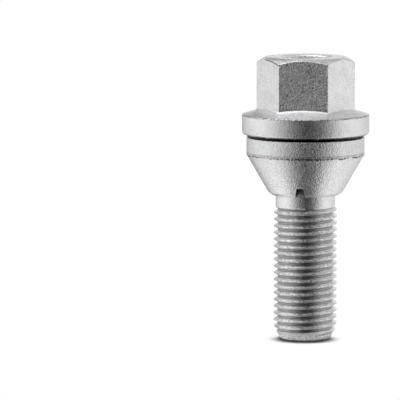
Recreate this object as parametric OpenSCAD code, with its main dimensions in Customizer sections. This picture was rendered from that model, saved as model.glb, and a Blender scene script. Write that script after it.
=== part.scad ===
// Wheel bolt with a hexagon flange head and a loose conical seat collar.
// It stands on the flat end of its thread, with +Z towards the head.

/* [Thread] */
// Diameter over the thread's crests
thread_d = 14; // [12:0.5:16]
// Distance from one crest to the next
pitch = 1.5; // [1:0.25:2]
// Length from the end face to the shank
thread_len = 29.6; // [20:0.2:40]
// Height of the tapered tip
tip_h = 3; // [2:0.1:5]
// Slope of the tapered tip, in degrees from the axis
tip_angle = 25; // [15:1:30]
// Rounding between the tip and the end face
tip_round = 0.8; // [0.2:0.1:1]
// Height at which the groove crosses the +X side for the first time
groove_start = 1.2; // [0:0.05:2]
// Turns over which the groove runs out at the shank
runout_turns = 0.5; // [0.25:0.25:1.5]

/* [Shank] */
// How far the shank lies inside the thread's crests
shank_step = 0.4; // [0.3:0.05:0.6]
// Length of the plain shank, from the thread to the flange
shank_len = 16.05; // [15:0.05:25]
// Fillet between the shank and the flange
neck_fillet = 0.8; // [0.4:0.1:1]

/* [Flange] */
// Diameter of the flange
flange_d = 28.2; // [26:0.1:32]
// Height of the flange's upright rim
flange_rim_h = 4.45; // [3:0.05:6]
// Slope of the flange's top, in degrees
flange_slope = 16; // [8:1:20]
// Rounding of the flange's lower edge
flange_low_round = 0.75; // [0.3:0.05:1]
// Rounding of the flange's upper edge
flange_top_round = 0.35; // [0.2:0.05:0.8]

/* [Hexagon] */
// Width across the flats
hex_af = 19; // [17:1:21]
// Height from the flange's underside to the top face
head_h = 17.25; // [14:0.05:22]
// Diameter of the flat top face
face_d = 17.8; // [15:0.1:18.5]
// Slope of the top chamfer, in degrees
chamfer_angle = 30; // [20:1:35]
// Height of the fillet at the hexagon's foot
foot_h = 0.35; // [0.2:0.05:0.8]

/* [Recess in the head] */
// Diameter of the recess
recess_d = 11.2; // [8:0.1:12]
// Depth of the recess
recess_depth = 6; // [3:0.1:8]
// Draft of the recess's wall, in degrees
recess_draft = 4; // [2:1:8]
// Rounding at the bottom of the recess
recess_round = 2.6; // [1:0.1:3]
// Rounding of the recess's mouth
mouth_round = 0.5; // [0.2:0.1:1]

/* [Seat collar] */
// Diameter of the collar's rim
collar_d = 26.2; // [24:0.1:28]
// Height of the collar's upright rim
rim_h = 4; // [3:0.1:6]
// Angle of the seat cone, across both sides
seat_angle = 60; // [56:1:64]
// Height of the seat cone
cone_h = 8.4; // [6:0.1:9]
// Rounding of the rim's upper edge
rim_round = 0.4; // [0.2:0.05:0.8]
// Height of the bevelled lip under the cone
lip_h = 0.65; // [0.3:0.05:1]
// Width of the flat ring at the bottom of the lip
lip_land = 0.5; // [0.3:0.05:0.7]
// Rounding between the lip's bevel and its flat ring
lip_round = 0.6; // [0.2:0.1:1]
// Clearance all round between the collar and the shank
collar_play = 0.2; // [0.1:0.05:0.25]
// Gap between the collar and the flange
collar_gap = 0.45; // [0.2:0.05:0.6]
// Width of the notch at the lip
notch_low_w = 2.5; // [2:0.1:4]
// Width of the notch at its top
notch_top_w = 1.4; // [0.8:0.1:3]
// Height of the notch
notch_h = 2.2; // [1.5:0.1:3]
// Turn of the notch from the front, in degrees
notch_turn = -4.5; // [-180:0.5:180]

/* [Hidden] */
$fn = 96;

zinc = [0.74, 0.75, 0.76];
arc_steps = 5;       // steps of each rounded corner
thread_steps = 24;   // steps of one turn of the thread
overcut = 1;         // how far a cut starts outside the body

// Metric thread form
thread_r = thread_d / 2;
flank = 30;                       // slope of each flank, in degrees
groove_depth = 0.6134 * pitch;
crest_w = pitch / 8;
root_w = pitch - crest_w - 2 * groove_depth * tan(flank);
groove_over = crest_w / 2;        // how far the groove's cutter stands outside the crests

// Heights above the end face
shank_r = thread_r - shank_step;
flange_z = thread_len + shank_len;
rim_top_z = flange_z + flange_rim_h;
top_z = flange_z + head_h;
collar_top_z = flange_z - collar_gap;
cone_top_z = collar_top_z - rim_h;
cone_low_z = cone_top_z - cone_h;
lip_z = cone_low_z - lip_h;

// Radii of the head
flange_r = flange_d / 2;
hex_r = hex_af / 2 / cos(30);
face_r = face_d / 2;
recess_r = recess_d / 2;

// Radii of the collar
collar_r = collar_d / 2;
bore_r = shank_r + collar_play;
lip_r = collar_r - cone_h * tan(seat_angle / 2);

// Height of the flange's sloping top at a given radius
function slope_z(r) = rim_top_z + (flange_r - r) * tan(flange_slope);

// An outline of [x, y, rounding] points, with each corner turned into an arc
function unit(v) = v / norm(v);
function corner(a, p, b, r) =
    let (u = unit(a - p),
         v = unit(b - p),
         half = acos(u * v) / 2,
         centre = p + unit(u + v) * r / sin(half),
         from = p + u * r / tan(half) - centre,
         to = p + v * r / tan(half) - centre,
         sweep = 180 - 2 * half)
    [for (i = [0:arc_steps])
        let (t = i / arc_steps)
        centre + (sin((1 - t) * sweep) * from + sin(t * sweep) * to) / sin(sweep)];
function flat(p) = [p[0], p[1]];
function rounded(path) =
    let (n = len(path))
    [for (i = [0:n - 1])
        let (p = path[i])
        each p[2] == 0 ? [flat(p)]
            : corner(flat(path[(i + n - 1) % n]), flat(p), flat(path[(i + 1) % n]), p[2])];

module turned(path) {
    rotate_extrude() polygon(rounded(path));
}

// Thread, shank and flange as one turned body
module turned_body() {
    inner_r = hex_af / 4;
    turned([
        [0, 0, 0],
        [thread_r - tip_h * tan(tip_angle), 0, tip_round],
        [thread_r, tip_h, 0],
        [thread_r, thread_len - shank_step, 0],
        [shank_r, thread_len, 0],
        [shank_r, flange_z, neck_fillet],
        [flange_r, flange_z, flange_low_round],
        [flange_r, rim_top_z, flange_top_round],
        [inner_r, slope_z(inner_r), 0],
        [0, slope_z(inner_r), 0]
    ]);
}

module hex_prism(from_z, to_z) {
    translate([0, 0, from_z]) cylinder(r = hex_r, h = to_z - from_z, $fn = 6);
}

// Hexagon with a coned top edge, on a foot that widens into the flange
module hexagon() {
    foot_top = slope_z(hex_af / 2) + foot_h;
    sink = foot_h + overcut / 2;
    chamfer_r = hex_r + overcut;
    intersection() {
        hex_prism(rim_top_z, top_z);
        turned([
            [0, rim_top_z - overcut, 0],
            [chamfer_r, rim_top_z - overcut, 0],
            [chamfer_r, top_z - (chamfer_r - face_r) * tan(chamfer_angle), 0],
            [face_r, top_z, 0],
            [0, top_z, 0]
        ]);
    }
    translate([0, 0, foot_top - sink])
        cylinder(r1 = hex_r + sink / cos(30), r2 = hex_r, h = sink, $fn = 6);
}

// Round cup pressed into the top face
module recess() {
    floor_z = top_z - recess_depth;
    floor_r = recess_r - recess_depth * tan(recess_draft);
    turned([
        [0, floor_z, 0],
        [floor_r, floor_z, recess_round],
        [recess_r, top_z, mouth_round],
        [recess_r + 2 * mouth_round, top_z, 0],
        [recess_r + 2 * mouth_round, top_z + overcut, 0],
        [0, top_z + overcut, 0]
    ]);
}

// Right-hand helical groove, swept as one closed solid
module thread_groove() {
    outer_r = thread_r + groove_over;
    root_r = thread_r - groove_depth;
    first_z = groove_start - pitch * ceil((groove_start + pitch) / pitch);
    turns = (thread_len + crest_w - first_z) / pitch;
    steps = floor(turns * thread_steps);
    runout_steps = runout_turns * thread_steps;

    function depth_left(i) = min(1, (steps - i) / runout_steps);
    function section(i) =
        let (a = 360 * i / thread_steps,
             z = first_z + pitch * i / thread_steps,
             r = thread_r - groove_depth * depth_left(i),
             low = root_w / 2,
             high = low + (outer_r - r) * tan(flank))
        [for (p = [[r, -low], [r, low], [outer_r, high], [outer_r, -high]])
            [p[0] * cos(a), p[0] * sin(a), z + p[1]]];

    corners = len(section(0));
    sides = [for (i = [0:steps - 1], j = [0:corners - 1])
        let (a = i * corners + j,
             b = i * corners + (j + 1) % corners)
        each [[a, b + corners, b], [a, a + corners, b + corners]]];
    start_cap = [for (j = [0:corners - 1]) j];
    end_cap = [for (j = [corners - 1:-1:0]) steps * corners + j];
    polyhedron([for (i = [0:steps]) each section(i)], concat(sides, [start_cap, end_cap]), convexity = 20);
}

module bolt() {
    color(zinc) difference() {
        union() {
            turned_body();
            hexagon();
        }
        recess();
        thread_groove();
    }
}

// Notch with leaning sides, cut through the lip towards the front
module notch() {
    lean = (notch_low_w - notch_top_w) / 2 / notch_h;
    low = notch_low_w / 2 + lean * overcut;
    high = notch_top_w / 2;
    translate([0, 0, lip_z]) rotate([90, 0, 0]) linear_extrude(collar_r)
        polygon([[-low, -overcut], [low, -overcut], [high, notch_h], [-high, notch_h]]);
}

// Loose ring with the cone that centres the bolt in the wheel
module seat_collar() {
    color(zinc) difference() {
        turned([
            [bore_r, lip_z, 0],
            [bore_r + lip_land, lip_z, lip_round],
            [lip_r, cone_low_z, 0],
            [collar_r, cone_top_z, 0],
            [collar_r, collar_top_z, rim_round],
            [bore_r + neck_fillet, collar_top_z, 0],
            [bore_r, collar_top_z - neck_fillet, 0]
        ]);
        rotate(notch_turn) notch();
    }
}

bolt();
seat_collar();
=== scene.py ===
# Wheel bolt with a loose conical seat collar: its finish, the studio and the camera
import math

import bmesh
import bpy
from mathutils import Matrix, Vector


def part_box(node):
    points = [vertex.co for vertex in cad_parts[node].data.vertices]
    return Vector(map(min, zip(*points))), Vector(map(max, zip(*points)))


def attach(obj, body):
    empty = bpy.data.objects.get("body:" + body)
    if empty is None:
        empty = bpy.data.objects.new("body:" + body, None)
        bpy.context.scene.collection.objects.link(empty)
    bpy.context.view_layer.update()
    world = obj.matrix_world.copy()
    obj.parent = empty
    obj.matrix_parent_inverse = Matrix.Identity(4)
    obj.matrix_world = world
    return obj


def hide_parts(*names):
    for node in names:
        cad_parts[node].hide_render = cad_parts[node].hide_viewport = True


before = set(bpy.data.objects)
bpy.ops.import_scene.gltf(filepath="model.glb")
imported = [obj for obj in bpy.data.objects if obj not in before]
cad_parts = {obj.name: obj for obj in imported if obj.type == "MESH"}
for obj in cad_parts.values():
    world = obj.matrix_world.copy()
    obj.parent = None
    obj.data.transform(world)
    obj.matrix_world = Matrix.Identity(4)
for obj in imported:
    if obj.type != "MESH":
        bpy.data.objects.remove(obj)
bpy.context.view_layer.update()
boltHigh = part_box("bolt")[1]
collarLow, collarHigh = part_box("seat_collar")

mm = 0.001
spare = 1.0                  # mm by which a cutter or a hidden end runs on
mergeReach = 0.0005          # mm between points that become one
sharpAngle = 40              # degrees from which an edge is shaded sharp


def tangent(degrees):
    return math.tan(math.radians(degrees))


# Outlines are lists of (radius, height, rounding), all in mm
def cornerArc(before, point, after, rounding, steps):
    toBefore = (before - point).normalized()
    toAfter = (after - point).normalized()
    half = toBefore.angle(toAfter) / 2
    centre = point + (toBefore + toAfter).normalized() * rounding / math.sin(half)
    start = (point + toBefore * rounding / math.tan(half) - centre).normalized()
    end = (point + toAfter * rounding / math.tan(half) - centre).normalized()
    return [centre + start.slerp(end, i / steps) * rounding for i in range(steps + 1)]


def roundedOutline(outline, steps):
    points = []
    for i, (radius, height, rounding) in enumerate(outline):
        here = Vector((radius, height))
        if rounding:
            before = Vector(outline[i - 1][:2])
            after = Vector(outline[(i + 1) % len(outline)][:2])
            points += cornerArc(before, here, after, rounding, steps)
        else:
            points.append(here)
    return points


def deselect():
    bpy.ops.object.select_all(action="DESELECT")


def makeActive(piece):
    deselect()
    piece.select_set(True)
    bpy.context.view_layer.objects.active = piece


def drawLine(name, points):
    # a plane is merged to one vertex, and that is extruded from point to point
    deselect()
    bpy.ops.mesh.primitive_plane_add(size=mm)
    line = bpy.context.object
    line.name = name
    bpy.ops.object.mode_set(mode="EDIT")
    bpy.ops.mesh.select_mode(type="VERT")
    bpy.ops.mesh.merge(type="CENTER")
    here = Vector((0, 0))
    for i, point in enumerate(points):
        step = (point - here) * mm
        move = (step.x, 0, step.y)
        if i == 0:
            bpy.ops.transform.translate(value=move)
        else:
            bpy.ops.mesh.extrude_region_move(TRANSFORM_OT_translate={"value": move})
        here = point
    bpy.ops.object.mode_set(mode="OBJECT")
    return line


def closeUp(piece):
    makeActive(piece)
    bpy.ops.object.mode_set(mode="EDIT")
    bpy.ops.mesh.select_all(action="SELECT")
    bpy.ops.mesh.remove_doubles(threshold=mergeReach * mm)
    bpy.ops.mesh.normals_make_consistent(inside=False)
    bpy.ops.object.mode_set(mode="OBJECT")


def turnOnLathe(name, outline, steps=144, arcSteps=6, ring=False):
    points = roundedOutline(outline, arcSteps)
    if ring:
        points.append(points[0])
    piece = drawLine(name, points)
    bpy.ops.object.mode_set(mode="EDIT")
    bpy.ops.mesh.select_all(action="SELECT")
    bpy.ops.mesh.spin(steps=steps, angle=2 * math.pi, center=(0, 0, 0), axis=(0, 0, 1))
    bpy.ops.object.mode_set(mode="OBJECT")
    closeUp(piece)
    return piece


def combine(piece, tool, operation):
    makeActive(piece)
    boolean = piece.modifiers.new("Combine", "BOOLEAN")
    boolean.operation = operation
    boolean.solver = "EXACT"
    boolean.object = tool
    bpy.ops.object.modifier_apply(modifier=boolean.name)
    bpy.data.objects.remove(tool)


def roundEdges(piece, test, width, segments):
    # test says which edges, from the normals of an edge's two faces, the one that looks up
    # less first, and from the edge's middle in mm
    makeActive(piece)
    bpy.ops.object.mode_set(mode="EDIT")
    bpy.ops.mesh.select_mode(type="EDGE")
    bpy.ops.mesh.select_all(action="DESELECT")
    shape = bmesh.from_edit_mesh(piece.data)
    found = 0
    for edge in shape.edges:
        if len(edge.link_faces) == 2:
            normals = (face.normal for face in edge.link_faces)
            lower, upper = sorted(normals, key=lambda normal: normal.z)
            middle = (edge.verts[0].co + edge.verts[1].co) / 2 / mm
            if test(lower, upper, middle):
                edge.select_set(True)
                found += 1
    bmesh.update_edit_mesh(piece.data)
    bpy.ops.mesh.bevel(offset=width * mm, segments=segments, affect="EDGES")
    bpy.ops.object.mode_set(mode="OBJECT")
    print(f"rounded {found} edges of {piece.name} by {width} mm")


def finishMesh(piece):
    closeUp(piece)
    bpy.ops.object.shade_smooth_by_angle(angle=math.radians(sharpAngle))
    weighted = piece.modifiers.new("Weighted", "WEIGHTED_NORMAL")
    weighted.keep_sharp = True
    bpy.ops.object.modifier_apply(modifier=weighted.name)
    piece.data.materials.clear()


# The camera stands a little to the right of the front and above the table
camera = {
    "distance": 855.0,       # mm from the bolt's axis
    "height": 128.9,         # mm above the table
    "azimuth": 3.45,         # degrees to the right of the front
    "pitch": 6.54,           # degrees below the level
    "turn": 1.57,            # degrees to the left of the axis
    "focal": 348.2,          # mm
    "sensor": 36,            # mm across
    "nearest": 10,           # mm from the lens, where its view begins
}


def makeCamera():
    azimuth = math.radians(camera["azimuth"])
    bpy.ops.object.camera_add(
        location=(
            math.sin(azimuth) * camera["distance"] * mm,
            -math.cos(azimuth) * camera["distance"] * mm,
            camera["height"] * mm,
        ),
        rotation=(
            math.radians(90 - camera["pitch"]),
            0,
            azimuth + math.radians(camera["turn"]),
        ),
    )
    eye = bpy.context.object
    eye.name = "camera"
    eye.data.lens = camera["focal"]
    eye.data.sensor_width = camera["sensor"]
    eye.data.clip_start = camera["nearest"] * mm
    bpy.context.scene.camera = eye
    print("camera placed")


# The finish: dull zinc plate with a fine grain
def addNode(tree, kind, **settings):
    # settings are properties of the node, or else values of its sockets, with _ for a space
    made = tree.nodes.new("ShaderNode" + kind)
    for name, value in settings.items():
        if hasattr(made, name):
            setattr(made, name, value)
        else:
            made.inputs[name.replace("_", " ")].default_value = value
    return made


def feed(tree, socket, value):
    # value is a number or the socket of another node
    if isinstance(value, (int, float)):
        socket.default_value = value
    else:
        tree.links.new(value, socket)


def compute(tree, operation, *values):
    # a third value and those after it are taken in one by one
    made = addNode(tree, "Math", operation=operation)
    for socket, value in zip(made.inputs, values[:2]):
        feed(tree, socket, value)
    if len(values) > 2:
        return compute(tree, operation, made.outputs[0], *values[2:])
    return made.outputs[0]


def stepUp(tree, source, low, high, bottom=0.0, top=1.0):
    # bottom below low, top above high, and a smooth change between them
    rise = addNode(tree, "MapRange", interpolation_type="SMOOTHSTEP",
                   From_Min=low, From_Max=high, To_Min=bottom, To_Max=top)
    feed(tree, rise.inputs["Value"], source)
    return rise.outputs["Result"]


def stepMm(tree, source, low, high, bottom=0.0, top=1.0):
    # the same along a length, with low and high in mm
    return stepUp(tree, source, low * mm, high * mm, bottom, top)


def stepFrom(tree, source, start, rises, bottom=0.0, top=1.0):
    # the same again, with rises as the two distances from start
    return stepMm(tree, source, start + rises[0], start + rises[1], bottom, top)


def nearHeight(tree, height, level, width):
    # 1 close to the level, 0 further than the width from it, both in mm
    away = compute(tree, "ABSOLUTE", compute(tree, "SUBTRACT", height, level * mm))
    return stepMm(tree, away, 0.4 * width, width, 1, 0)


def mixNumbers(tree, factor, first, second):
    mix = addNode(tree, "Mix", data_type="FLOAT")
    for i, value in ((0, factor), (2, first), (3, second)):
        feed(tree, mix.inputs[i], value)
    return mix.outputs[0]


def noise(tree, place, size, stretch=1.0, detail=2.0):
    # size in mm; stretch draws the pattern out along Z
    drawn = addNode(tree, "VectorMath", operation="MULTIPLY")
    drawn.inputs[1].default_value = (1, 1, 1 / stretch)
    tree.links.new(place, drawn.inputs[0])
    made = addNode(tree, "TexNoise", Scale=1 / (size * mm), Detail=detail)
    tree.links.new(drawn.outputs[0], made.inputs["Vector"])
    return made.outputs["Fac"]


zinc = {
    "light": (0.96, 0.96, 0.965),
    "dark": (0.76, 0.76, 0.77),
    # mark is the colour of the dark marks, of the dullness and of the painted shade
    "mark": (0.10, 0.10, 0.105),
    "grain": 0.34,           # mm across one grain
    "speck": 0.20,           # mm across the finest specks
    "speckShare": 0.5,       # of the grain
    "streak": 0.30,          # mm across one upright streak
    "streakStretch": 6.0,
    "streakShare": 0.2,      # of the grain and specks
    "patch": 3.0,            # mm across one mottled patch
    "patchShare": 0.25,      # of the whole mottle
    "dot": 0.42,             # mm across one nick
    "darkAt": 0.41,          # values of the mottle that are quite dark and quite light
    "lightAt": 0.57,
    "roughSpread": 0.06,     # roughness that the mottle adds or takes off
    "roughAt": (0.35, 0.65),
    "grainDepth": 0.10,      # mm
    "grainAt": (0.38, 0.62),  # values of the fine pattern at a grain's foot and top
    "grainStrength": 0.8,
    "zoneBlend": 0.3,        # mm to each side of a change of finish
}


def zincPlate(name, finishes, marksAndShade):
    # finishes is a list of (height in mm from which it holds, roughness, strength of the grain,
    # dullness); marksAndShade says how much of each spot is darkened by a mark or painted shade,
    # from 0 to 1
    plate = bpy.data.materials.new(name)
    plate.use_nodes = True
    tree = plate.node_tree
    link = tree.links.new
    shader = tree.nodes["Principled BSDF"]
    shader.inputs["Metallic"].default_value = 1
    place = addNode(tree, "TexCoord").outputs["Object"]
    parts = addNode(tree, "SeparateXYZ")
    link(place, parts.inputs["Vector"])
    x, y, height = parts.outputs
    across = addNode(tree, "CombineXYZ")
    link(x, across.inputs["X"])
    link(y, across.inputs["Y"])
    length = addNode(tree, "VectorMath", operation="LENGTH")
    link(across.outputs["Vector"], length.inputs[0])
    spot = {
        "height": height,
        "radius": length.outputs["Value"],
        "turn": compute(tree, "ARCTAN2", y, x),
        "dots": noise(tree, place, zinc["dot"], detail=1.0),
        "patch": noise(tree, place, zinc["patch"], detail=4.0),
    }

    grain = noise(tree, place, zinc["grain"])
    speck = noise(tree, place, zinc["speck"], detail=1.0)
    streak = noise(tree, place, zinc["streak"], stretch=zinc["streakStretch"])
    fine = mixNumbers(tree, zinc["speckShare"], grain, speck)
    fine = mixNumbers(tree, zinc["streakShare"], fine, streak)
    mottle = mixNumbers(tree, zinc["patchShare"], fine, spot["patch"])
    colours = addNode(tree, "ValToRGB")
    dark, light = colours.color_ramp.elements
    dark.position, dark.color = zinc["darkAt"], (*zinc["dark"], 1)
    light.position, light.color = zinc["lightAt"], (*zinc["light"], 1)
    link(mottle, colours.inputs["Fac"])
    marked = addNode(tree, "Mix", data_type="RGBA")
    link(colours.outputs["Color"], marked.inputs[6])
    marked.inputs[7].default_value = (*zinc["mark"], 1)
    link(marked.outputs[2], shader.inputs["Base Color"])

    rough, relief, dull = finishes[0][1:]
    for low, *values in finishes[1:]:
        above = stepFrom(tree, height, low, (-zinc["zoneBlend"], zinc["zoneBlend"]))
        rough, relief, dull = (mixNumbers(tree, above, old, new)
                               for old, new in zip((rough, relief, dull), values))
    link(compute(tree, "MAXIMUM", marksAndShade(tree, spot), dull), marked.inputs["Factor"])
    uneven = stepUp(tree, mottle, *zinc["roughAt"], -zinc["roughSpread"], zinc["roughSpread"])
    link(compute(tree, "ADD", rough, uneven), shader.inputs["Roughness"])

    bump = addNode(tree, "Bump", Strength=zinc["grainStrength"], Distance=zinc["grainDepth"] * mm)
    raised = stepUp(tree, fine, *zinc["grainAt"])
    link(compute(tree, "MULTIPLY", raised, relief), bump.inputs["Height"])
    link(bump.outputs["Normal"], shader.inputs["Normal"])
    return plate


# The bolt: hexagon, flange, shank and thread in one piece. Lengths are in mm
bolt = {
    "acrossFlats": 19.0,
    "headHeight": 17.25,     # from the flange's underside
    "faceDiameter": 17.8,
    "chamfer": 30,           # degrees
    "uprightRound": 0.25,
    "chamferRound": 0.12,
    "footFillet": 0.45,
    "cupDiameter": 11.2,
    "cupDepth": 6.0,
    "cupDraft": 4,           # degrees
    "cupRound": 2.6,
    "mouthRound": 0.5,
    "flangeRim": 4.45,
    "flangeSlope": 16,       # degrees
    "flangeLowRound": 0.75,
    "flangeTopRound": 0.35,
    "neckFillet": 0.8,
    "shankDiameter": 13.2,
    "threadDiameter": 14.0,
    "pitch": 1.5,
    "grooveDepth": 0.6134,   # of the pitch
    "flankSlope": 30,        # degrees
    "crestRound": 0.08,
    "rootRound": 0.1,
    "threadLength": 29.6,
    "threadTurns": 22,       # some more than the length needs
    "threadSteps": 120,      # of one turn
    "grooveStart": 1.2,      # height at which the groove crosses the +X side
    "fadeLength": 0.6,       # of the crests' ends at the shank
    "fadeFrom": 0.4,         # below the thread's length
    "tipHeight": 3.0,
    "tipAngle": 25,          # degrees from the axis
    "tipRound": 0.8,
    # roughness, strength of the grain and dullness of each zone
    "threadFinish": (0.11, 0.42, 0),
    "shankFinish": (0.29, 0.32, 0),
    "flangeFinish": (0.30, 0.34, 0.07),
    "headFinish": (0.29, 0.62, 0),
    "headFrom": 0.5,         # above the hexagon's foot
    "faceFinish": (0.20, 0.5, 0),
    "faceFrom": 0.3,         # below the top face
    # how dark each mark or painted shade is, from 0 to 1, and where it begins and is full
    # painted shade in the thread's roots, full at the first radius and gone at the second
    "rootShadeDark": 0.60,
    "rootRadii": (6.1, 6.5),
    "rootHeights": (0.9, 1.8),
    "threadBlend": 0.3,      # at the thread's upper end
    "lapDark": 0.40,
    "lapAway": (0.02, 0.06),  # pitches from the crest's middle
    "lapDots": (0.40, 0.50),
    "speckDark": 0.40,
    "speckDots": (0.50, 0.56),
    "edgeDark": 0.3,         # the flange's upper edge, between its nicks
    "edgeDrop": 0.1,         # below the rim's top
    "edgeWidth": 0.25,
    "nickDark": 0.8,
    "nickDots": (0.48, 0.52),
    "coneDrop": 0.15,        # from the chamfer to where it is all worn
    "wornDark": 0.25,
    "wornFrom": -0.1,
    "wornPatches": (0.46, 0.58),
    "leftLineDark": 0.9,
    "leftLineDrop": 0.04,
    "leftLineWidth": 0.2,
    "leftLineStarts": (-2.80, -2.60),  # radians round from the +X side
    "leftLineEnds": (-2.11, -2.05),
    # painted shade in the gap under the flange, and on the shank inside the collar
    "gapShadeDark": 0.9,
    "gapShadeLeast": 0.5,         # share of it in the thinnest patches
    "gapShadePatches": (0.36, 0.46),
    "gapShadeWidth": 0.5,         # above and below the flange's underside
    "gapShadeOut": (1, 2),        # outside the shank
    "insideUp": (0.2, 1.5),  # above the collar's lip
    "insideOut": (0.3, 0.6),
}
topZ = boltHigh.z / mm
flangeR = boltHigh.x / mm
flangeZ = topZ - bolt["headHeight"]
rimTopZ = flangeZ + bolt["flangeRim"]
hexR = bolt["acrossFlats"] / 2 / math.cos(math.radians(30))
faceR = bolt["faceDiameter"] / 2
shankR = bolt["shankDiameter"] / 2
threadR = bolt["threadDiameter"] / 2
lipZ = collarLow.z / mm


def flangeTop(radius):
    return rimTopZ + (flangeR - radius) * tangent(bolt["flangeSlope"])


def makeBlank():
    # it begins as a thin core in the thread, and a short cone leads on to the shank
    innerR = bolt["acrossFlats"] / 4
    coreR = threadR - 1.3
    coneR = threadR - 1.05
    coneLow = bolt["threadLength"] - 0.7
    coneHigh = bolt["threadLength"] + 0.25
    return turnOnLathe("blank", [
        (0, coneLow - spare, 0),
        (coreR, coneLow - spare, 0),
        (coneR, coneLow, 0),
        (shankR, coneHigh, 0),
        (shankR, flangeZ, bolt["neckFillet"]),
        (flangeR, flangeZ, bolt["flangeLowRound"]),
        (flangeR, rimTopZ, bolt["flangeTopRound"]),
        (innerR, flangeTop(innerR), 0),
        (0, flangeTop(innerR), 0),
    ])


def isUpright(normal):
    return abs(normal.z) < 0.1


def isBetweenFlats(lower, upper, middle):
    return isUpright(lower) and isUpright(upper)


def isOnChamfer(lower, upper, middle):
    # the chamfer's edges, against the flats and against the top face
    return lower.z < 0.95 and upper.z > 0.8 and middle.z > topZ - 5


def isAtFoot(lower, upper, middle):
    # where a flat stands on the flange's sloping top
    return isUpright(lower) and 0.9 < upper.z < 0.99 and middle.z < rimTopZ + 3


def makeHexagon():
    lowZ = flangeZ + spare
    deselect()
    bpy.ops.mesh.primitive_cylinder_add(
        vertices=6,
        radius=hexR * mm,
        depth=(topZ - lowZ) * mm,
        location=(0, 0, (topZ + lowZ) / 2 * mm),
        rotation=(0, 0, math.radians(30)),
    )
    hexagon = bpy.context.object
    hexagon.name = "hexagon"
    bpy.ops.object.transform_apply()
    roundEdges(hexagon, isBetweenFlats, bolt["uprightRound"], 3)
    wideR = hexR + spare
    drop = (wideR - faceR) * tangent(bolt["chamfer"])
    cone = turnOnLathe("chamferCone", [
        (0, lowZ - spare, 0),
        (wideR, lowZ - spare, 0),
        (wideR, topZ - drop, 0),
        (faceR, topZ, 0),
        (0, topZ, 0),
    ])
    combine(hexagon, cone, "INTERSECT")
    return hexagon


def makeCup():
    mouthR = bolt["cupDiameter"] / 2
    floorZ = topZ - bolt["cupDepth"]
    floorR = mouthR - bolt["cupDepth"] * tangent(bolt["cupDraft"])
    clearR = mouthR + 2 * bolt["mouthRound"]
    return turnOnLathe("cup", [
        (0, floorZ, 0),
        (floorR, floorZ, bolt["cupRound"]),
        (mouthR, topZ, bolt["mouthRound"]),
        (clearR, topZ, 0),
        (clearR, topZ + spare, 0),
        (0, topZ + spare, 0),
    ], arcSteps=8)


def makeThread():
    # one pitch of the thread's side is drawn and screwed up
    pitch = bolt["pitch"]
    depth = bolt["grooveDepth"] * pitch
    crest = pitch / 8
    flank = depth * tangent(bolt["flankSlope"])
    root = pitch - crest - 2 * flank
    rootR = threadR - depth
    startZ = bolt["grooveStart"] - 2 * pitch
    crestZ = startZ + root / 2 + flank
    thread = drawLine("thread", roundedOutline([
        (rootR, startZ, 0),
        (rootR, startZ + root / 2, bolt["rootRound"]),
        (threadR, crestZ, bolt["crestRound"]),
        (threadR, crestZ + crest, bolt["crestRound"]),
        (rootR, startZ + pitch - root / 2, bolt["rootRound"]),
        (rootR, startZ + pitch, 0),
    ], steps=3))
    screw = thread.modifiers.new("Screw", "SCREW")
    screw.axis = "Z"
    screw.screw_offset = pitch * mm
    screw.iterations = bolt["threadTurns"]
    screw.steps = bolt["threadSteps"]
    screw.render_steps = bolt["threadSteps"]
    bpy.ops.object.modifier_apply(modifier=screw.name)
    closeUp(thread)
    # both ends are cut off flat, just outside the envelope that follows
    lowCut = -0.15
    highCut = bolt["threadLength"] + 0.9
    bpy.ops.object.mode_set(mode="EDIT")
    for height, keepsAbove in ((lowCut, True), (highCut, False)):
        bpy.ops.mesh.select_all(action="SELECT")
        bpy.ops.mesh.bisect(
            plane_co=(0, 0, height * mm),
            plane_no=(0, 0, 1),
            use_fill=True,
            clear_inner=keepsAbove,
            clear_outer=not keepsAbove,
        )
    bpy.ops.object.mode_set(mode="OBJECT")
    closeUp(thread)
    # the envelope gives the tapered tip and the fade at the shank, and clears the crests
    slack = 0.05
    slope = tangent(bolt["tipAngle"])
    clearR = threadR + slack
    fadeR = threadR - bolt["fadeLength"]
    fadeZ = bolt["threadLength"] - bolt["fadeFrom"]
    endZ = fadeZ + 0.9
    envelope = turnOnLathe("envelope", [
        (0, 0, 0),
        (threadR - bolt["tipHeight"] * slope, 0, bolt["tipRound"]),
        (clearR, bolt["tipHeight"] + slack / slope, 0),
        (clearR, fadeZ - slack, 0),
        (fadeR, fadeZ + bolt["fadeLength"], 0),
        (fadeR, endZ, 0),
        (0, endZ, 0),
    ])
    combine(thread, envelope, "INTERSECT")
    return thread


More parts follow.
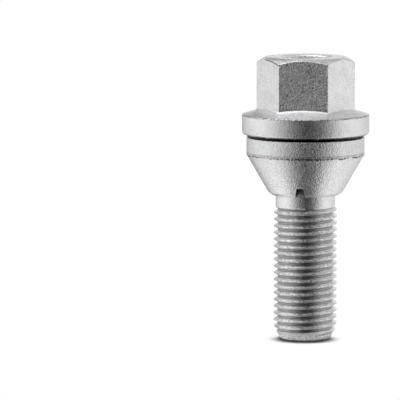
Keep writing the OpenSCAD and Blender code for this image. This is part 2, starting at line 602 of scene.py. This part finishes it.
def boltMarksAndShade(tree, spot):
    height, radius, turn = spot["height"], spot["radius"], spot["turn"]
    dots, patch = spot["dots"], spot["patch"]
    # the thread gets painted shade in its roots, and has a fine lap along its crests, and specks
    threadTop = bolt["threadLength"]
    blend = bolt["threadBlend"]
    rootShade = stepMm(tree, radius, *bolt["rootRadii"], bolt["rootShadeDark"], 0)
    along = compute(tree, "SUBTRACT", compute(tree, "DIVIDE", height, bolt["pitch"] * mm),
                    compute(tree, "DIVIDE", turn, 2 * math.pi))
    behind = bolt["grooveStart"] / bolt["pitch"] - 4     # whole turns keep the phase above 0
    phase = compute(tree, "FRACT", compute(tree, "SUBTRACT", along, behind))
    offCrest = compute(tree, "ABSOLUTE", compute(tree, "SUBTRACT", phase, 0.5))
    lap = compute(tree, "MULTIPLY",
                  stepUp(tree, offCrest, *bolt["lapAway"], bolt["lapDark"], 0),
                  stepUp(tree, dots, *bolt["lapDots"]))
    thread = compute(tree, "MULTIPLY",
                     stepMm(tree, height, *bolt["rootHeights"]),
                     stepFrom(tree, height, threadTop, (0, blend), 1, 0),
                     compute(tree, "MAXIMUM", rootShade, lap))
    specks = compute(tree, "MULTIPLY",
                     stepUp(tree, dots, *bolt["speckDots"], 0, bolt["speckDark"]),
                     stepFrom(tree, height, threadTop, (-blend, 0), 1, 0))
    # nicks run along the flange's upper edge
    nicks = compute(tree, "MULTIPLY",
                    nearHeight(tree, height, rimTopZ - bolt["edgeDrop"], bolt["edgeWidth"]),
                    stepUp(tree, dots, *bolt["nickDots"], bolt["edgeDark"], bolt["nickDark"]))
    # the chamfer is worn, with a dark line along its left edge; cone is the same all over it
    slope = tangent(bolt["chamfer"])
    cone = compute(tree, "ADD", height, compute(tree, "MULTIPLY", radius, slope))
    coneLevel = topZ + faceR * slope - bolt["coneDrop"]
    worn = compute(tree, "MULTIPLY",
                   stepFrom(tree, cone, coneLevel, (bolt["wornFrom"], 0)),
                   stepUp(tree, patch, *bolt["wornPatches"], 0, bolt["wornDark"]))
    leftLine = compute(tree, "MULTIPLY",
                   nearHeight(tree, cone, coneLevel - bolt["leftLineDrop"], bolt["leftLineWidth"]),
                   stepUp(tree, turn, *bolt["leftLineStarts"], 0, bolt["leftLineDark"]),
                   stepUp(tree, turn, *bolt["leftLineEnds"], 1, 0))
    # painted shade under the flange, in patches, and on the shank inside the collar
    under = compute(tree, "MULTIPLY",
                    nearHeight(tree, height, flangeZ, bolt["gapShadeWidth"]),
                    stepFrom(tree, radius, shankR, bolt["gapShadeOut"]),
                    stepUp(tree, patch, *bolt["gapShadePatches"], bolt["gapShadeLeast"], 1))
    inside = compute(tree, "MULTIPLY",
                     stepFrom(tree, height, lipZ, bolt["insideUp"]),
                     stepFrom(tree, radius, shankR, bolt["insideOut"], 1, 0),
                     stepMm(tree, height, flangeZ, rimTopZ, 1, 0))
    gapShade = compute(tree, "MULTIPLY", compute(tree, "MAXIMUM", under, inside), bolt["gapShadeDark"])
    return compute(tree, "MAXIMUM", thread, specks, nicks, leftLine, worn, gapShade)


def makeBolt():
    piece = makeHexagon()
    roundEdges(piece, isOnChamfer, bolt["chamferRound"], 2)
    combine(piece, makeBlank(), "UNION")
    roundEdges(piece, isAtFoot, bolt["footFillet"], 4)
    combine(piece, makeCup(), "DIFFERENCE")
    combine(piece, makeThread(), "UNION")
    piece.name = "wheelBolt"
    finishMesh(piece)
    finishes = [
        (0, *bolt["threadFinish"]),
        (bolt["threadLength"], *bolt["shankFinish"]),
        (flangeZ, *bolt["flangeFinish"]),
        (flangeTop(bolt["acrossFlats"] / 2) + bolt["headFrom"], *bolt["headFinish"]),
        (topZ - bolt["faceFrom"], *bolt["faceFinish"]),
    ]
    piece.data.materials.append(zincPlate("boltZinc", finishes, boltMarksAndShade))
    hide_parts("bolt")
    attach(piece, "bolt")
    print("bolt made", len(piece.data.polygons), "faces")


# The collar: a loose ring with a rim, a seat cone, a rounded lip and a notch. Lengths are in mm
collar = {
    "rim": 4.0,
    "cone": 8.4,
    "coneAngle": 60,         # degrees across both sides
    "lipLand": 0.5,
    "lipRound": 0.6,
    "coneLowRound": 0.05,
    "coneTopRound": 0.15,
    "rimRound": 0.4,
    "boreRound": 0.1,
    "play": 0.2,             # clearance to the shank
    "steps": 160,            # of the whole turn
    "notchLow": 2.5,
    "notchTop": 1.4,
    "notchHeight": 2.2,
    "notchTurn": -4.5,       # degrees from the front
    # roughness, strength of the grain and dullness of each zone
    "coneFinish": (0.20, 0.42, 0),
    "rimFinish": (0.28, 0.56, 0.08),
    # how dark each mark or painted shade is, from 0 to 1, and where it begins and is full
    # painted shade in a broken line along the edge between the rim and the cone
    "breakShadeDark": 0.95,       # on the edge between the rim and the cone
    "breakDots": (0.42, 0.46),
    "breakWidth": 0.3,
    "breakWander": 0.15,     # up and down
    "wanderPatches": (0.3, 0.7),
    "breakLeast": 0.4,       # share of it in the thinnest patches
    "breakPatches": (0.34, 0.46),
    # painted shade on the collar's top, under the flange
    "gapShadeWidth": 0.3,         # below the collar's top
    # painted shade on the notch's walls
    "notchShade": 0.85,
    "notchIn": (0.1, 0.3),   # from the cone towards the axis
    "notchFrom": -0.1,       # from the cone's foot
    "coneDirt": 0.1,
    "coneDots": (0.50, 0.60),
    "coneBlend": 1.0,        # above the cone's top
}
collarTopZ = collarHigh.z / mm
rimR = collarHigh.x / mm
coneTopZ = collarTopZ - collar["rim"]
coneLowZ = coneTopZ - collar["cone"]
coneSlope = tangent(collar["coneAngle"] / 2)


def makeNotch():
    # a cube becomes a wedge with leaning sides, from the axis out to the front
    lean = (collar["notchLow"] - collar["notchTop"]) / 2 / collar["notchHeight"]
    reach = 12.0
    deselect()
    bpy.ops.mesh.primitive_cube_add(size=1)
    notch = bpy.context.object
    notch.name = "notch"
    notch.scale = (mm, reach * mm, (collar["notchHeight"] + spare) * mm)
    bpy.ops.object.transform_apply()
    for vertex in notch.data.vertices:
        isTop = vertex.co.z > 0
        halfWidth = collar["notchTop"] / 2 if isTop else collar["notchLow"] / 2 + lean * spare
        vertex.co.x = math.copysign(halfWidth * mm, vertex.co.x)
    notch.location = (0, -reach / 2 * mm, (lipZ + (collar["notchHeight"] - spare) / 2) * mm)
    bpy.ops.object.transform_apply()
    notch.rotation_euler = (0, 0, math.radians(collar["notchTurn"]))
    bpy.ops.object.transform_apply()
    return notch


def collarMarksAndShade(tree, spot):
    height, dots, patch = spot["height"], spot["dots"], spot["patch"]
    # painted shade in a broken line that wanders along the edge between the rim and the cone
    wander = collar["breakWander"] * mm
    wandered = compute(tree, "ADD", height,
                       stepUp(tree, patch, *collar["wanderPatches"], -wander, wander))
    line = compute(tree, "MULTIPLY",
                   nearHeight(tree, wandered, coneTopZ, collar["breakWidth"]),
                   stepUp(tree, dots, *collar["breakDots"], 0, collar["breakShadeDark"]),
                   stepUp(tree, patch, *collar["breakPatches"], collar["breakLeast"], 1))
    # painted shade on the collar's top, in the gap under the flange
    gapShade = compute(tree, "MULTIPLY",
                  nearHeight(tree, height, collarTopZ, collar["gapShadeWidth"]), bolt["gapShadeDark"])
    # the walls of the notch lie deeper than the cone and get painted shade; the cone has a little
    # dirt
    onCone = stepFrom(tree, height, coneTopZ, (0, collar["coneBlend"]), 1, 0)
    cone = compute(tree, "ADD", compute(tree, "MULTIPLY", height, coneSlope),
                   (rimR - coneTopZ * coneSlope) * mm)
    walls = compute(tree, "MULTIPLY",
                    stepMm(tree, compute(tree, "SUBTRACT", cone, spot["radius"]),
                           *collar["notchIn"], 0, collar["notchShade"]),
                    stepFrom(tree, height, coneLowZ, (collar["notchFrom"], 0)), onCone)
    dirt = compute(tree, "MULTIPLY",
                   stepUp(tree, dots, *collar["coneDots"], 0, collar["coneDirt"]), onCone)
    return compute(tree, "MAXIMUM", line, gapShade, walls, dirt)


def makeCollar():
    boreR = shankR + collar["play"]
    piece = turnOnLathe("seatCollar", [
        (boreR, lipZ, 0),
        (boreR + collar["lipLand"], lipZ, collar["lipRound"]),
        (rimR - collar["cone"] * coneSlope, coneLowZ, collar["coneLowRound"]),
        (rimR, coneTopZ, collar["coneTopRound"]),
        (rimR, collarTopZ, collar["rimRound"]),
        (boreR + bolt["neckFillet"], collarTopZ, collar["boreRound"]),
        (boreR, collarTopZ - bolt["neckFillet"], 0),
    ], steps=collar["steps"], ring=True)
    combine(piece, makeNotch(), "DIFFERENCE")
    finishMesh(piece)
    finishes = [(0, *collar["coneFinish"]), (coneTopZ, *collar["rimFinish"])]
    piece.data.materials.append(zincPlate("collarZinc", finishes, collarMarksAndShade))
    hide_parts("seat_collar")
    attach(piece, "collar")
    print("collar made", len(piece.data.polygons), "faces")


# The studio: a white tent with a dark opening at the front, round the camera. What says where
# is a part of the direction's unit vector: x to the right, y to the back, z up, or down where
# it says so. Two numbers are where a change begins and ends
studio = {
    "floorSize": 6.0,        # metres
    "floorWhite": 0.92,
    "mirrored": 6.5,         # mm round the middle, where the metal mirrors the floor
    "mirrorBlend": 2.5,      # mm further out
    "shadowReach": 5.0,      # mm from what stands on the floor
    "shadowSamples": 24,
    "shadowBack": 0.8,       # the shadow looks to the back and up, and so it falls to the front
    "shadowUp": 0.6,
    "shadowOpen": (0.39, 0.83),  # how open a place is where the shadow is full and where it ends
    "shadowTone": 0.04,
    # brightness of the tent by azimuth, in degrees from the front, with + to the right
    "tent": ((-180, 0.50), (-168, 0.20), (-155, 0.42), (-138, 0.70), (-117, 0.96), (-98, 0.86),
             (-80, 1.0), (-68, 0.96), (-56, 0.76), (-44, 0.52), (-31, 0.29), (-18, 0.15),
             (-6, 0.035), (6, 0.01), (18, 0.03), (30, 0.09), (43, 0.20), (55, 0.36), (65, 0.72),
             (73, 1.00), (90, 0.91), (117, 0.88), (143, 0.78), (160, 0.74), (180, 0.50)),
    "roofUp": (0.42, 0.72),  # z, from the walls to the roof
    "roofLeft": 2.15,        # brightness of the roof at the front's left and right
    "roofRight": 0.85,
    "roofAcross": (-0.55, 0.28),     # x
    "roofDeep": (-0.35, 0.45),       # y, from the front's brightness to the back's
    "roofSkew": 0.5,         # part of x that is added to y there
    "roofBackLeft": 0.20,    # brightness at the back's left and right, and straight overhead
    "roofBack": 0.60,
    "roofHigh": 0.52,
    "roofBackAcross": (-0.18, 0.14),  # x
    "roofHighUp": (0.70, 0.85),      # z
    "strip": 1.2,            # a bright strip behind, just above the table
    "stripBack": (0.90, 0.97),       # y
    "stripStarts": (0.0, 0.05),      # z
    "stripEnds": (0.15, 0.25),
    "skirt": 1.06,           # the walls are brighter by this towards the floor
    "skirtDown": (0.25, 0.6),
    "below": 0.08,           # brightness straight down
    "belowDown": (0.86, 0.945),
}


def grey(level):
    return level, level, level, 1


def makeFloor():
    deselect()
    bpy.ops.mesh.primitive_plane_add(size=studio["floorSize"])
    floor = bpy.context.object
    floor.name = "floor"
    paint = bpy.data.materials.new("floorWhite")
    paint.use_nodes = True
    tree = paint.node_tree
    link = tree.links.new
    tree.nodes.remove(tree.nodes["Principled BSDF"])
    path = addNode(tree, "LightPath")
    # to the camera it is white, with a soft shadow that falls towards the front
    lean = addNode(tree, "CombineXYZ", Y=studio["shadowBack"], Z=studio["shadowUp"])
    near = addNode(tree, "AmbientOcclusion", samples=studio["shadowSamples"],
                   Distance=studio["shadowReach"] * mm)
    link(lean.outputs["Vector"], near.inputs["Normal"])
    white = addNode(tree, "Emission", Strength=1.0)
    lit = stepUp(tree, near.outputs["AO"], *studio["shadowOpen"], studio["shadowTone"], 1.0)
    link(lit, white.inputs["Color"])
    # the metal mirrors it only round its foot, and the tent goes on below the rest
    plain = addNode(tree, "BsdfDiffuse", Color=grey(studio["floorWhite"]))
    clear = addNode(tree, "BsdfTransparent")
    place = addNode(tree, "TexCoord")
    away = addNode(tree, "VectorMath", operation="LENGTH")
    link(place.outputs["Object"], away.inputs[0])
    far = stepFrom(tree, away.outputs["Value"], studio["mirrored"], (0, studio["mirrorBlend"]))
    mirrored = addNode(tree, "MixShader")
    link(compute(tree, "MULTIPLY", far, path.outputs["Is Glossy Ray"]), mirrored.inputs["Fac"])
    link(plain.outputs["BSDF"], mirrored.inputs[1])
    link(clear.outputs["BSDF"], mirrored.inputs[2])
    seen = addNode(tree, "MixShader")
    link(path.outputs["Is Camera Ray"], seen.inputs["Fac"])
    link(mirrored.outputs["Shader"], seen.inputs[1])
    link(white.outputs["Emission"], seen.inputs[2])
    link(seen.outputs["Shader"], tree.nodes["Material Output"].inputs["Surface"])
    floor.data.materials.append(paint)
    print("floor made")


def makeTent():
    world = bpy.data.worlds.new("tent")
    bpy.context.scene.world = world
    world.use_nodes = True
    tree = world.node_tree
    link = tree.links.new
    place = addNode(tree, "TexCoord")
    towards = addNode(tree, "SeparateXYZ")
    link(place.outputs["Generated"], towards.inputs["Vector"])
    x, y, z = towards.outputs
    down = compute(tree, "MULTIPLY", z, -1.0)
    # the walls, round by azimuth
    azimuth = compute(tree, "ARCTAN2", x, compute(tree, "MULTIPLY", y, -1.0))
    around = addNode(tree, "MapRange", From_Min=-math.pi, From_Max=math.pi)
    link(azimuth, around.inputs["Value"])
    walls = addNode(tree, "ValToRGB")
    walls.color_ramp.interpolation = "B_SPLINE"
    stops = walls.color_ramp.elements
    first, *between, last = studio["tent"]
    for degrees, level in between:
        stops.new((degrees + 180) / 360).color = grey(level)
    stops[0].color = grey(first[1])
    stops[-1].color = grey(last[1])
    link(around.outputs["Result"], walls.inputs["Fac"])
    skirt = stepUp(tree, down, *studio["skirtDown"], 1.0, studio["skirt"])
    tent = compute(tree, "MULTIPLY", walls.outputs["Color"], skirt)
    # the roof
    roofFront = stepUp(tree, x, *studio["roofAcross"], studio["roofLeft"], studio["roofRight"])
    roofBack = mixNumbers(
        tree, stepUp(tree, z, *studio["roofHighUp"]),
        stepUp(tree, x, *studio["roofBackAcross"], studio["roofBackLeft"], studio["roofBack"]),
        studio["roofHigh"])
    back = compute(tree, "ADD", y, compute(tree, "MULTIPLY", x, studio["roofSkew"]))
    roof = mixNumbers(tree, stepUp(tree, back, *studio["roofDeep"]), roofFront, roofBack)
    tent = mixNumbers(tree, stepUp(tree, z, *studio["roofUp"]), tent, roof)
    # the strip behind, and the dark below
    isStrip = compute(tree, "MULTIPLY",
                      stepUp(tree, y, *studio["stripBack"]),
                      stepUp(tree, z, *studio["stripStarts"]),
                      stepUp(tree, z, *studio["stripEnds"], 1, 0))
    tent = mixNumbers(tree, isStrip, tent, studio["strip"])
    tent = mixNumbers(tree, stepUp(tree, down, *studio["belowDown"]), tent, studio["below"])
    # to the camera it is all white
    path = addNode(tree, "LightPath")
    seen = mixNumbers(tree, path.outputs["Is Camera Ray"], tent, 1.0)
    link(seen, tree.nodes["Background"].inputs["Color"])
    print("tent made")


bpy.context.scene.view_settings.view_transform = "Standard"
makeCamera()
makeBolt()
makeCollar()
makeFloor()
makeTent()
